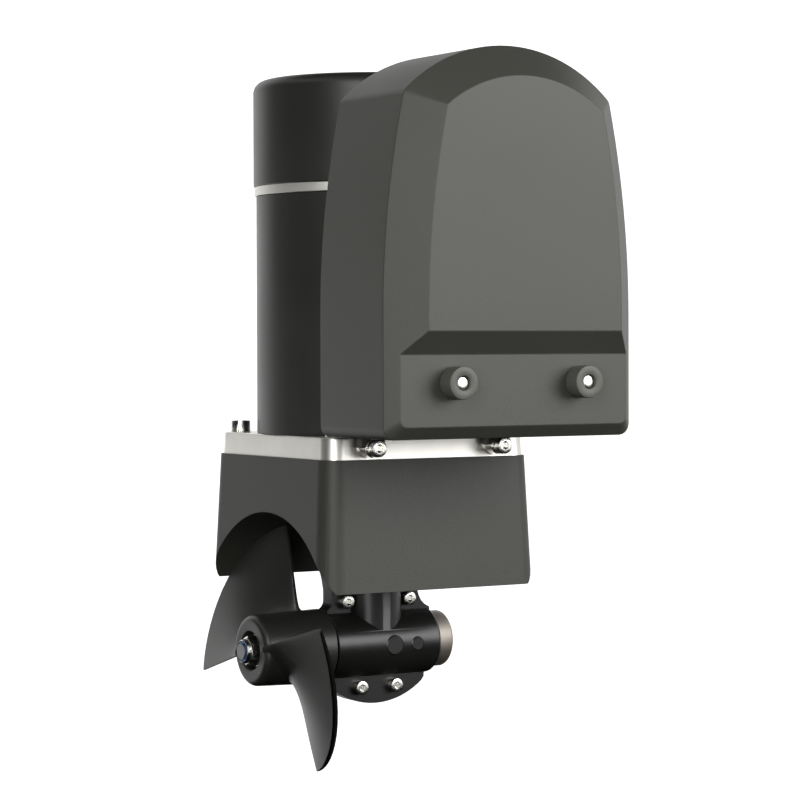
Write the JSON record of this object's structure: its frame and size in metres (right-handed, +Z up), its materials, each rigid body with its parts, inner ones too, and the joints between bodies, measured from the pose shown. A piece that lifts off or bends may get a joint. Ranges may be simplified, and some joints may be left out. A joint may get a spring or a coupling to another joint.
{
  "type": "bow thruster",
  "caption": "Tunnel bow thruster: an electric motor on a saddle drives a propeller through a bevel-gear leg, with its contactor and control module under a moulded cover.",
  "frame": {"origin": "where the upright drive axis crosses the tunnel's axis, at the centre of the saddle's half-round seat", "axes": "+Z up the drive and motor axis; +X along the tunnel, from the propeller to the anode; -Y towards the control cover"},
  "size_m": [0.1442, 0.2052, 0.3514],
  "materials": {
    "saddle_black": "drafted satin black moulding",
    "cover_black": "satin black moulding with a faint sheen",
    "leg_black": "smooth glass-filled black moulding, soft sheen",
    "plate_aluminium": "fine cast aluminium, machined top",
    "ring_aluminium": "turned aluminium",
    "motor_black": "satin black paint",
    "anode_metal": "bare turned anode metal",
    "propeller_black": "black composite, satin",
    "knob_black": "black moulding",
    "stainless": "bright stainless steel",
    "steel": "machined steel",
    "magnet": "ferrite",
    "lamination": "stacked steel sheets",
    "copper": "bare copper",
    "brass": "turned brass",
    "rubber_black": "black rubber",
    "spider_red": "red elastomer",
    "insulator": "brown phenolic",
    "contactor_case": "black moulding, slight gloss",
    "module_blue": "dark blue case",
    "wire": "insulated wire",
    "carbon": "pressed carbon"
  },
  "bodies": {
    "thruster": {"anode": "anode_metal", "anode_screw": "stainless", "brush_holders": "brass", "brush_plate": "insulator", "brush_springs": "steel", "brushes": "carbon", "coil_wires": "wire", "contactor_case": "contactor_case", "contactor_coils": "copper", "contactor_lid": "contactor_case", "control_base": "saddle_black", "control_module": "module_blue", "cover_posts": "brass", "field_magnets": "magnet", "foot_screws": "stainless", "leg_back_half": "leg_black", "leg_bearings": "steel", "leg_bolts": "stainless", "leg_front_half": "leg_black", "leg_gasket": "rubber_black", "leg_nuts": "stainless", "leg_screws": "stainless", "leg_seals": "rubber_black", "motor_bearings": "steel", "motor_cap": "motor_black", "motor_end_ring": "ring_aluminium", "motor_end_shield": "ring_aluminium", "motor_plate": "plate_aluminium", "motor_straps": "copper", "motor_tie_bolts": "stainless", "motor_yoke": "motor_black", "oil_plugs": "leg_black", "plate_screws": "stainless", "saddle": "saddle_black", "stud_insulators": "insulator", "terminal_nuts": "stainless", "terminal_studs": "brass"},
    "propeller_shaft": {"propeller": "propeller_black", "prop_shaft": "stainless", "crown_gear": "steel", "drive_pin": "stainless", "prop_washer": "stainless", "prop_nut": "stainless"},
    "drive_line": {"drive_shaft": "steel", "drive_pinion": "steel", "coupling_drive_hub": "steel", "coupling_spider": "spider_red", "coupling_motor_hub": "steel", "armature_shaft": "steel", "armature_core": "lamination", "armature_windings": "copper", "commutator": "copper"},
    "cover": {"cover": "cover_black"},
    "seal_left": {"knob_seal_left": "rubber_black"},
    "seal_right": {"knob_seal_right": "rubber_black"},
    "knob_left": {"knob_left": "knob_black"},
    "knob_right": {"knob_right": "knob_black"},
    "plunger_left": {"contactor_plunger_left": "copper"},
    "plunger_right": {"contactor_plunger_right": "copper"}
  },
  "joints": [
    {"name": "drive_spin", "type": "hinge", "parent": "thruster", "child": "drive_line", "pos_m": [0, 0, 0.15], "axis": [0, 0, 1], "continuous": true},
    {"name": "propeller_spin", "type": "hinge", "parent": "thruster", "child": "propeller_shaft", "pos_m": [-0.02, 0, 0], "axis": [1, 0, 0], "continuous": true},
    {"name": "cover_slide", "type": "slide", "parent": "thruster", "child": "cover", "axis": [0, -1, 0], "range_m": [0, 0.09]},
    {"name": "knob_left_travel", "type": "slide", "parent": "cover", "child": "seal_left", "axis": [0, -1, 0], "range_m": [0, 0.008]},
    {"name": "knob_left_turn", "type": "hinge", "parent": "seal_left", "child": "knob_left", "pos_m": [-0.035, -0.138, 0.134], "axis": [0, -1, 0], "range_deg": [0, 3600]},
    {"name": "knob_right_travel", "type": "slide", "parent": "cover", "child": "seal_right", "axis": [0, -1, 0], "range_m": [0, 0.008]},
    {"name": "knob_right_turn", "type": "hinge", "parent": "seal_right", "child": "knob_right", "pos_m": [0.035, -0.138, 0.134], "axis": [0, -1, 0], "range_deg": [0, 3600]},
    {"name": "plunger_left_stroke", "type": "slide", "parent": "thruster", "child": "plunger_left", "axis": [0, 0, 1], "range_m": [0, 0.003], "stiffness_N_per_m": 200, "springref_m": -0.004},
    {"name": "plunger_right_stroke", "type": "slide", "parent": "thruster", "child": "plunger_right", "axis": [0, 0, 1], "range_m": [0, 0.003], "stiffness_N_per_m": 200, "springref_m": -0.004}
  ],
  "couplings": [
    {"joint": "propeller_spin", "follows": "drive_spin", "ratio": 0.6},
    {"joint": "knob_left_turn", "follows": "knob_left_travel", "rad_per_m": 7854},
    {"joint": "knob_right_turn", "follows": "knob_right_travel", "rad_per_m": 7854}
  ]
}
